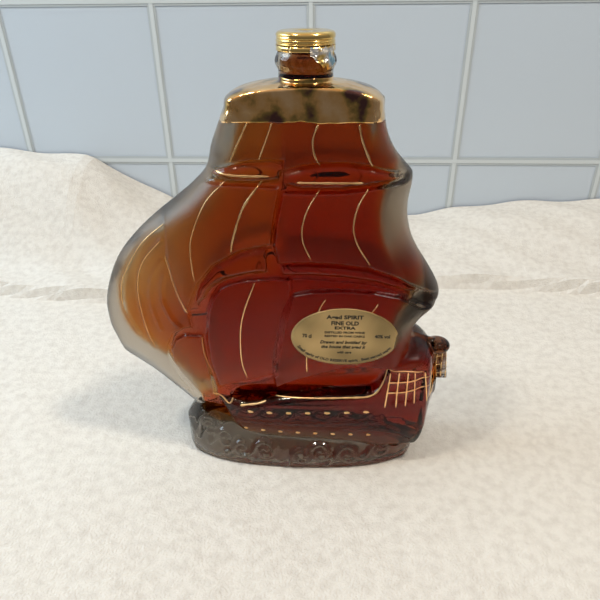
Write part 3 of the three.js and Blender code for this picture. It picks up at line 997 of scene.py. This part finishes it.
def gold_dab(x, z, width, height, side, seed):
    """A porthole: one flat dab of gold with an uneven rim."""
    noise = np.random.default_rng(seed)
    corners = 14
    turns = full_turn(corners)
    reach = 1 + noise.uniform(-0.14, 0.14, corners)
    rings = []
    for size, lift in ((1.0, -0.08), (0.97, 0.1), (0.6, 0.2), (0.12, 0.22)):
        px = x + width / 2 * size * reach * np.cos(turns)
        pz = z + height / 2 * size * reach * np.sin(turns)
        rings.append(np.stack([px, side * (face_depth(px, pz) + lift), pz], axis=1))
    rings = np.array(rings)
    return ring_strip(rings[:, ::-1] if side > 0 else rings)


RIGGING_WIDTH = 0.8  # strokes on the sails are drawn this much thinner than listed
RIGGING = [  # [x, z] points and width of each gold stroke on the sails
    ([(-27.5, 216.8), (-32, 208.3), (-37.2, 197.8)], 0.9),
    ([(-15.6, 216.8), (-19.5, 206.9), (-22.8, 198.8)], 0.7),
    ([(6.6, 216), (4.1, 209.4), (4.6, 202.2), (7.6, 196)], 0.9),
    ([(26.1, 216), (28, 208), (33.4, 195.6)], 1.1),
    ([(-45.2, 192.6), (-39.3, 191.6), (-29.4, 191), (-18, 191)], 1.2),
    ([(-3.7, 188), (12.6, 187.9), (29.3, 188)], 1.2),
    ([(-40.4, 187.9), (-51.1, 177.3), (-59.7, 159.5), (-61.5, 147.8), (-60.9, 132.5)], 0.6),
    ([(-21.1, 188.7), (-31.3, 175.5), (-37.6, 158.9), (-39.3, 150.4)], 1.1),
    ([(7.7, 184.1), (3, 177.4), (-0.2, 170), (-1.4, 163), (-0.6, 156), (3.3, 147.1)], 0.7),
    ([(31.9, 184.8), (28, 178.4), (25.6, 171), (25.2, 163.6), (28, 155), (34.5, 144.6)], 0.8),
    ([(-27.4, 132.9), (-33.8, 116.2), (-37, 101.3), (-37.8, 80), (-35.6, 65.4)], 0.8),
    ([(11.5, 124.6), (8.3, 118.8), (3.3, 103.5), (1, 89.6), (0.9, 73)], 0.8),
    ([(40, 121.9), (34, 110.8), (30.3, 93.8), (30.3, 79.4)], 0.8),
    ([(-76.3, 162.8), (-91.4, 149.6), (-103.6, 130.8), (-106.5, 121), (-107, 110.8)], 0.9),
    (JIB_CREASES[1], 0.45),
    ([(-77, 145), (-75.6, 138), (-73.2, 126), (-67.6, 110.6)], 0.9),
]
FRONT_RIGGING = [([(-60.6, 95), (-60.2, 82), (-57.4, 66)], 0.5)]  # one more, on the label's side only
HULL_LINES = [  # [x, z] points and width of each gold stroke on the hull and the lantern
    ([(-58.8, 50.2), (-53.4, 45.6), (-49.3, 42.4), (-47.4, 43.4), (-46.5, 45.7)], 1.1),
    ([(-41.5, 42.7), (-31.9, 45), (-24.8, 48)], 1.5),
    ([(-18.9, 50.8), (7.6, 52.8), (33.2, 54.7), (40.3, 56.5), (44.3, 60.5), (46.9, 66.7), (48.3, 71.9),
      (49.1, 75.6)], 1.1),
    ([(49.6, 74.6), (58.9, 75), (70.2, 73.4)], 0.8),
    ([(50.4, 73), (49.4, 58.2), (48.6, 47.1)], 0.9),
    ([(55.6, 74), (55.3, 59.9), (55.4, 47.3)], 0.9),
    ([(60.9, 74), (61, 60.1), (61.1, 48.3)], 0.9),
    ([(65, 73.4), (65.8, 60.2), (66.4, 50.1)], 0.7),
    ([(71, 73.2), (72.8, 61.9), (74.7, 49.4)], 0.9), ([(74.8, 73), (76.3, 63.8), (77.2, 49.8)], 0.8),
    ([(78.4, 70), (79.4, 58.5), (79.6, 47)], 0.8), ([(71.2, 69.4), (75.5, 68.6), (79, 67.4)], 0.7),
    ([(71.8, 62.7), (76, 61.2), (79.4, 59.5)], 0.7), ([(74.4, 52), (77, 50.6), (79.6, 49)], 0.7),
    ([(49.7, 66.4), (56.9, 66.6), (64, 67.4), (71.2, 69.4)], 0.8),
    ([(48.9, 58.6), (57.3, 58.9), (64.4, 60.1), (71.8, 62.7)], 0.8),
    ([(80.8, 75), (80.6, 65), (82.2, 55.8)], 0.6), ([(83.8, 76), (84, 65), (84.8, 55)], 0.7),
    ([(86.4, 75.5), (87.3, 66), (87.5, 56)], 0.6), ([(79.8, 72.6), (83.5, 73), (87.2, 72.2)], 0.6),
    ([(80, 66.6), (84, 66.8), (88, 66.4)], 0.6), ([(80.4, 60.4), (84.4, 60), (88, 60.4)], 0.6),
]
UPPER_PORTS = [(-34.9 + 12.05 * i, 39.2 + 0.73 * i) for i in range(7)]
LOWER_PORTS = [(-38.6 + 11.17 * i, 24.9) for i in range(8)]
PORTS = [(UPPER_PORTS, 3.8, 2.0, 0), (LOWER_PORTS, 3.0, 1.7, 20)]  # places, width, height, first seed


def make_gilding():
    shapes = []
    for side in (-1, 1):
        for points, width in RIGGING + FRONT_RIGGING * (side < 0):
            shapes.append(brush_line(points, RIGGING_WIDTH * width, side))
        for points, width in HULL_LINES:
            shapes.append(brush_line(points, width, side, lift=0.2))
        for places, width, height, first in PORTS:
            shapes += [gold_dab(x, z, width, height, side, first + i) for i, (x, z) in enumerate(places)]
    stops = [(0.3, (0.74, 0.44, 0.17)), (0.5, (0.98, 0.66, 0.31))]
    return mesh_object("gilding", merge(shapes), gilt("line_gold", stops, 90.0, 0.36, 0.05))


def make_shoulder_gilt():
    dark, olive, gold, bright = (0.15, 0.07, 0.06), (0.42, 0.28, 0.08), (0.88, 0.50, 0.17), (1.0, 0.66, 0.32)
    # The dark, olive and bright stops are painted reflections: noise patches that stand in for the room
    # mirrored in the shoulder's gold.
    stops = [(0.36, dark), (0.42, olive), (0.48, gold), (0.6, bright)]
    return mesh_object("shoulder_gilt", gilt_shoulder(), gilt("burnt_gold_painted_reflections", stops, 62.0, 0.12, 0.9))


for gilded in (make_gilding(), make_shoulder_gilt()):
    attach(gilded, "bottle")

# ------------------------------------------------------------------ closure


def make_cap(look):
    top, skirt = CAP_HIGH[2], CAP_LOW[2]
    radius = (CAP_HIGH[0] - CAP_LOW[0]) / 2
    heights = np.arange(skirt + 0.15, top - 2.05, 0.12)
    grooves = 0.38 * hump(heights - skirt - 0.75, 0.22) + 0.42 * hump(heights - skirt - 2.35, 0.3)
    outer = [(radius - 0.12, skirt), *zip(radius - grooves, heights)]
    for t in np.radians(np.linspace(0, 84, 12)):
        outer.append((radius - 2.4 + 2.4 * math.cos(t), top - 2.0 + 2.0 * math.sin(t)))
    outer += [(radius - 3.6, top), (radius - 6.5, top - 0.1), (0.02, top - 0.14)]
    bore = radius - 0.4
    inner = [(0.02, top - 0.6), (bore - 0.9, top - 0.6), (bore, top - 1.3), (bore, skirt)]

    def rolled(angle, z):
        turn = (angle / (2 * math.pi) + 0.28) % 1
        height = skirt + 0.9 + THREAD_PITCH * turn
        near = hump(z - height, 0.42) * (z < skirt + 4.2)
        fade = smoothstep(turn, 0.02, 0.12) * (1 - smoothstep(turn, 0.9, 1.0))
        return -0.3 * near * fade

    return mesh_object("screw_cap_shell", lathe(outer + inner, 180, rolled), look)


def make_liner():
    low, high = LINER_LOW[2], LINER_HIGH[2] - 0.12
    radius = (LINER_HIGH[0] - LINER_LOW[0]) / 2
    profile = [(0.02, low), (radius - 0.25, low), (radius, low + 0.2), (radius, high), (0.02, high)]
    return mesh_object("cap_wad", lathe(profile, 96), plain("liner_foam", (0.85, 0.83, 0.78), 0.7))


def make_ring(look):
    """The tamper ring left on the neck, with its torn bridges and a slit."""
    low, high = RING_LOW[2], RING_HIGH[2]
    middle = (low + high) / 2
    outer = (RING_HIGH[0] - RING_LOW[0]) / 2
    inner = outer - 0.3
    slit, half_slit = -math.pi / 2 - math.radians(30), 0.03
    rings = []
    for a in np.linspace(slit + half_slit, slit + 2 * math.pi - half_slit, 200):
        top = high - 0.2 + 0.22 * max(0.0, math.cos(a * 12)) ** 6
        flare = 0.0048 * math.sin(a * 5 + 1)
        section = [
            (outer - 0.05, low + 0.1), (outer, low + 0.5), (outer - 0.12, middle), (outer, top),
            (inner, top), (inner - 0.12, middle), (inner - 0.35, low + 0.55), (inner - 0.2, low),
        ]
        rings.append([((r + flare) * math.cos(a), (r + flare) * math.sin(a), z) for r, z in section])
    return mesh_object("tamper_band", ring_strip(rings), look)


def make_scrap():
    """Crumpled foil from the old seal, torn off except round one side of the neck."""
    noise = np.random.default_rng(5)
    columns, rows, half_sheet = 17, 9, 0.06
    angles = np.radians(np.linspace(-80, -28, columns))
    front, back = np.zeros((2, rows, columns, 3))
    torn_edge = through([
        (-1.42, 245.4), (-1.2, 243.6), (-1.05, 242.2), (-0.9, 240.6), (-0.72, 239.4), (-0.45, 242.5),
    ])
    neck_radius = through([
        (236, 13.6), (238.6, 13.8), (240.6, 14.9), (242.4, 15.3), (244.2, 14.9), (245.6, 14.7), (249.5, 14.6),
    ])
    jag = noise.uniform(-0.7, 0.7, columns)
    for c, a in enumerate(angles):
        torn_low = float(torn_edge(a)) + jag[c]
        torn_high = SCRAP_TOP + 0.2 + 0.5 * jag[c]
        for r in range(rows):
            z = torn_low + (torn_high - torn_low) * r / (rows - 1) + noise.uniform(-0.2, 0.2)
            radius = float(neck_radius(z)) + 0.25 + noise.uniform(0, 0.55)
            turn = a + noise.uniform(-0.012, 0.012)
            for sheet, reach in ((front, radius + half_sheet), (back, radius - half_sheet)):
                sheet[r, c] = reach * math.cos(turn), reach * math.sin(turn), z
    gold, silver, blue = (0.95, 0.66, 0.22), (0.92, 0.90, 0.84), (0.45, 0.72, 0.85)
    stops = [(0.42, gold), (0.5, silver), (0.56, silver), (0.62, blue)]
    foil = mottled("torn_foil", 160.0, 1.0, stops, Metallic=1.0, Roughness=0.3)[0]
    return mesh_object("foil_scrap", shell(front, back), foil, smooth=False)


gold_lacquer = plain(
    "gold_lacquer", (0.90, 0.62, 0.20), 0.17, Metallic=1.0, Coat_Weight=0.3, Coat_Roughness=0.1)
cap = make_cap(gold_lacquer)
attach(cap, "cap")
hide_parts("screw_cap")

ring = make_ring(gold_lacquer)
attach(ring, "bottle")
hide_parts("tamper_ring")

liner = make_liner()
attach(liner, "wad")
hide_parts("cap_liner")

scrap = make_scrap()
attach(scrap, "bottle")
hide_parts("seal_scrap")

# ------------------------------------------------------------------ label

LABEL_X = (LABEL_LOW[0] + LABEL_HIGH[0]) / 2 - NECK_X
LABEL_Z = (LABEL_LOW[2] + LABEL_HIGH[2]) / 2
LABEL_RIDGES = [
    ([(13.4, 122), (7.4, 112), (3.3, 103.5), (1, 89.6), (0.9, 78)], 0.32),
    ([(42, 122), (38.6, 112), (34, 101), (31.4, 90), (30.6, 78)], 0.32),
]
LABEL_WORDS = [  # words, middle and baseline from the label's centre, letter size, stretch, slant
    ("Aged SPIRIT", 0, 13.0, 3.3, 1.22, 0), ("FINE OLD", 0, 9.0, 3.5, 1.02, 0),
    ("EXTRA", 0, 6.2, 2.6, 1.45, 0),
    ("DISTILLED FROM WINE", 0, 3.4, 1.9, 1.15, 0), ("RESTED IN OAK CASKS", 0, 0.9, 1.9, 1.15, 0),
    ("70 cl", -21.2, 0.2, 3.4, 0.8, 0), ("40% vol", 21.3, 0.6, 3.2, 0.85, 0),
    ("Drawn and bottled by", -0.8, -3.7, 3.0, 0.98, 0.3),
    ("the house that aged it", -0.8, -7.0, 3.0, 0.94, 0.3), ("with care", 0, -10.8, 2.4, 0.9, 0.3),
]
LABEL_RIM_WORDS = "Small casks of OLD RESERVE spirit . Best served warm"
LABEL_RIM = (28.9, 17.4)  # half width and half height of the curve that the lowest words stand on
LABEL_HALF = ((LABEL_HIGH[0] - LABEL_LOW[0]) / 2, (LABEL_HIGH[2] - LABEL_LOW[2]) / 2)


def label_depth(x, z):
    """The label lies over the small dips of the glass and is raised where it crosses a gold stroke."""
    spread = np.linspace(-3, 3, 5)
    level = sum(face_depth(x + dx, z + dz) for dx in spread for dz in spread) / 25 + 0.1
    for points, height in LABEL_RIDGES:
        line = np.array(points, float)
        at = np.interp(z, line[::-1, 1], line[::-1, 0])
        level = level + height * (1 - smoothstep(np.abs(x - at), 0, 2.2))
    return level


def make_label():
    turns = full_turn(120)
    front, back = [], []
    for size in np.linspace(1, 0.02, 18):
        x = LABEL_X + LABEL_HALF[0] * size * np.cos(turns)
        z = LABEL_Z + LABEL_HALF[1] * size * np.sin(turns)
        depth = label_depth(x, z)
        front.append(np.stack([x, -(depth + 0.16), z], axis=1))
        back.append(np.stack([x, -(depth - 0.04), z], axis=1))
    stops = [(0.4, (0.30, 0.21, 0.08)), (0.6, (0.68, 0.47, 0.20))]
    paper = mottled("gold_paper", 22.0, 2.0, stops, Metallic=0.45, Roughness=0.4)[0]
    return mesh_object("oval_label", ring_strip(back[::-1] + front), paper)


def letters(words, size, stretch, slant):
    """Flat letter shapes in mm: corners and faces, centred on their baseline."""
    curve = bpy.data.curves.new("letters", "FONT")
    curve.body = words
    curve.size = size
    curve.shear = slant
    curve.align_x = "CENTER"
    curve.offset = 0.04 * size
    curve.extrude = 0.02
    curve.resolution_u = 2
    holder = add_object("letters", curve)
    shape = bpy.data.meshes.new_from_object(holder.evaluated_get(bpy.context.evaluated_depsgraph_get()))
    corners = np.array([v.co for v in shape.vertices]) * (stretch, 1, 1)
    faces = [tuple(p.vertices) for p in shape.polygons]
    bpy.data.objects.remove(holder)
    bpy.data.curves.remove(curve)
    bpy.data.meshes.remove(shape)
    return corners, faces


def lay_on_label(corners, along, up):
    x, z = LABEL_X + along, LABEL_Z + up
    return np.stack([x, -(label_depth(x, z) + 0.19 + corners[:, 2]), z], axis=1)


def make_letters():
    """Plain words in place of the maker's, printed on the label."""
    shapes = []
    for words, middle, baseline, size, stretch, slant in LABEL_WORDS:
        corners, faces = letters(words, size, stretch, slant)
        shapes.append((lay_on_label(corners, corners[:, 0] + middle, corners[:, 1] + baseline), faces))
    corners, faces = letters(LABEL_RIM_WORDS, 2.7, 1.0, 0)
    steps = np.radians(np.linspace(-175, -5, 200))
    run = lengths_along(np.stack([np.cos(steps), np.sin(steps)], axis=1) * LABEL_RIM)
    at = np.interp(corners[:, 0] + run[-1] / 2, run, steps)
    circle = np.stack([np.cos(at), np.sin(at)], axis=1)
    along, up = (circle * LABEL_RIM - unit(circle / LABEL_RIM) * corners[:, 1:2]).T
    shapes.append((lay_on_label(corners, along, up), faces))
    ink = plain("label_ink", (0.02, 0.018, 0.012), 0.6)
    return mesh_object("label_print", merge(shapes), ink, smooth=False)


label = make_label()
for printed in (label, make_letters()):
    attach(printed, "bottle")
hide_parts("front_label")

# ------------------------------------------------------------------ stage, in metres

WALL_Y = 0.37
TABLE_EDGE = -0.22
SIDE = 1.2
WALL_TOP = 1.2
TILE = 0.169
JOINTS_X = [-0.16 + TILE * i for i in range(-4, 7)]
JOINTS_Z = [0.086 + TILE * i for i in range(5)]
# The wider, darker layer is painted shade of the rounded tile edges on each side of a joint.
JOINT_LAYERS = [  # name, half width, how far before the wall, colour, roughness
    ("_painted_shade", 0.0045, 0.0006, (0.55, 0.61, 0.63), 0.5), ("", 0.0022, 0.0012, (0.66, 0.72, 0.73), 0.8),
]
TOWEL_RISE = through([  # x and the height that the towel is bunched to against the wall
    (-0.6, 0.11), (-0.26, 0.092), (-0.235, 0.08), (-0.18, 0.048), (-0.12, 0.027), (0.13, 0.021),
    (0.19, 0.03), (0.26, 0.038), (0.6, 0.045),
])


def stage_sheet(name, corners, faces, look):
    mesh = bpy.data.meshes.new(name)
    mesh.from_pydata([tuple(p) for p in corners], [], faces)
    mesh.materials.append(look)
    add_object(name, mesh)


def panel(name, x0, x1, z0, z1, y, colour, roughness):
    corners = [(x0, y, z0), (x1, y, z0), (x1, y, z1), (x0, y, z1)]
    stage_sheet(name, corners, [(0, 1, 2, 3)], plain(name + "_paint", colour, roughness))


def terry():
    """Towelling with slanting ribs and a short pile."""
    stops = [(0.3, (0.66, 0.62, 0.55)), (0.6, (0.76, 0.725, 0.65))]
    made, tree, shader = mottled("terry", 160.0, 4.0, stops, Roughness=0.95)
    place = node(tree, "ShaderNodeTexCoord")
    turned = node(tree, "ShaderNodeMapping", Rotation=(0, 0, math.radians(-38)))
    tree.links.new(place.outputs["Object"], turned.inputs["Vector"])
    ribs = node(tree, "ShaderNodeTexWave", Scale=8.0, Distortion=0.4)
    tree.links.new(turned.outputs["Vector"], ribs.inputs["Vector"])
    both = node(tree, "ShaderNodeMath", operation="MULTIPLY_ADD")
    both.inputs[1].default_value = 0.6
    tree.links.new(ribs.outputs["Fac"], both.inputs[0])
    tree.links.new(soft_noise(tree, 700.0, 3.0), both.inputs[2])
    add_bump(tree, shader, both.outputs["Value"], 0.55, 0.0016)
    return made


def make_towel():
    """A terry towel on the table, one fold of it bunched up against the wall."""
    xs = np.concatenate([
        np.linspace(-SIDE, -0.62, 12), np.arange(-0.6, 0.6, 0.01), np.linspace(0.62, SIDE, 12),
    ])
    ys = np.concatenate([np.linspace(TABLE_EDGE, 0.15, 12), np.arange(0.155, 0.371, 0.004)])
    x, y = np.meshgrid(xs, ys, indexing="ij")
    wander = 0.02 * np.sin(x * 9)
    fold = 0.012 * smoothstep(y, 0.196 + wander, 0.203 + wander)
    high = np.maximum(TOWEL_RISE(x), 0.013)
    z = fold + (high - 0.012) * smoothstep(y, 0.22, 0.34) + 0.0015 * np.sin(x * 70 + y * 90) * (fold > 0.006)
    rows, columns = x.shape
    faces = [
        (r * columns + c, (r + 1) * columns + c, (r + 1) * columns + c + 1, r * columns + c + 1)
        for r in range(rows - 1) for c in range(columns - 1)
    ]
    stage_sheet("towel", np.stack([x, y, z - 0.0004], axis=-1).reshape(-1, 3), faces, terry())


def make_stage():
    """A glazed tile wall behind a towel; an upright joint lies just behind a level one."""
    make_towel()
    panel("wall", -SIDE, SIDE, 0, WALL_TOP, WALL_Y, (0.60, 0.68, 0.75), 0.35)
    for kind, half, before, colour, roughness in JOINT_LAYERS:
        y = WALL_Y - before
        for i, x in enumerate(JOINTS_X):
            panel(f"joint{kind}_{i}", x - half, x + half, 0, WALL_TOP, y, colour, roughness)
        for i, z in enumerate(JOINTS_Z):
            panel(f"course{kind}_{i}", -SIDE, SIDE, z - half, z + half, y - 0.0002, colour, roughness)


def area_light(name, place, target, size, power, colour):
    data = bpy.data.lights.new(name, "AREA")
    data.shape = "RECTANGLE"
    data.size, data.size_y = size
    data.energy = power
    data.color = colour
    light = add_object(name, data)
    light.location = place
    aim = Vector(target) - Vector(place)
    light.rotation_euler = aim.to_track_quat("-Z", "Y").to_euler()


def make_room():
    """A world that is warm and bright overhead, and dark low down and behind the camera."""
    world = bpy.data.worlds.new("room")
    world.use_nodes = True
    tree = world.node_tree
    place = node(tree, "ShaderNodeTexCoord")
    split = node(tree, "ShaderNodeSeparateXYZ")
    tree.links.new(place.outputs["Generated"], split.inputs["Vector"])
    tones = [(0.0, (0.185, 0.175, 0.18)), (0.3, (0.26, 0.26, 0.27)), (0.9, (0.62, 0.51, 0.46))]
    strength = between(tree, split.outputs["Y"], 0.75, 1.0, From_Min=-1.0, From_Max=0.3)
    background = tree.nodes["Background"]
    tree.links.new(colour_ramp(tree, split.outputs["Z"], tones), background.inputs["Color"])
    tree.links.new(strength, background.inputs["Strength"])
    bpy.context.scene.world = world


def make_lights():
    warm, cool = (1.0, 0.93, 0.82), (0.62, 0.82, 1.0)
    area_light("lamp_left", (-0.42, -0.22, 1.15), (0.02, 0, 0.1), (0.12, 0.12), 3.8, warm)
    area_light("lamp_right", (0.5, -0.2, 1.15), (0.02, 0, 0.1), (0.12, 0.12), 5.8, warm)
    area_light("window", (-1.25, 0.1, 0.85), (0.0, 0.15, 0.05), (0.9, 0.7), 16.0, cool)


def make_camera():
    """A hand-held phone's view: close, from above the cap, tilted down."""
    distance, height, aside = 290.0, 278.0, 4.0
    turn, tilt, roll = math.radians(3.0), math.radians(30.2), math.radians(-0.63)
    forward = Vector((-math.sin(turn), math.cos(turn), 0))
    right = Vector((math.cos(turn), math.sin(turn), 0))
    place = Vector((NECK_X, 0, height)) - forward * distance - right * aside
    look = forward * math.cos(tilt) - Vector((0, 0, math.sin(tilt)))
    up = forward * math.sin(tilt) + Vector((0, 0, math.cos(tilt)))
    side = right * math.cos(roll) + up * math.sin(roll)
    up = up * math.cos(roll) - right * math.sin(roll)
    data = bpy.data.cameras.new("camera")
    data.sensor_width = 36.0
    data.lens = 33.6
    data.clip_start = 0.01
    camera = add_object("camera", data)
    turned_to = Matrix((side, up, -look)).transposed()
    camera.matrix_world = Matrix.Translation(place * MM) @ turned_to.to_4x4()
    bpy.context.scene.camera = camera


def set_look():
    scene = bpy.context.scene
    scene.view_settings.view_transform = "Standard"
    scene.cycles.use_denoising = True
    scene.cycles.max_bounces = 24
    scene.cycles.transmission_bounces = 20
    scene.cycles.glossy_bounces = 6
    scene.cycles.diffuse_bounces = 3
    scene.cycles.sample_clamp_indirect = 6.0


make_stage()
make_room()
make_lights()
make_camera()
set_look()
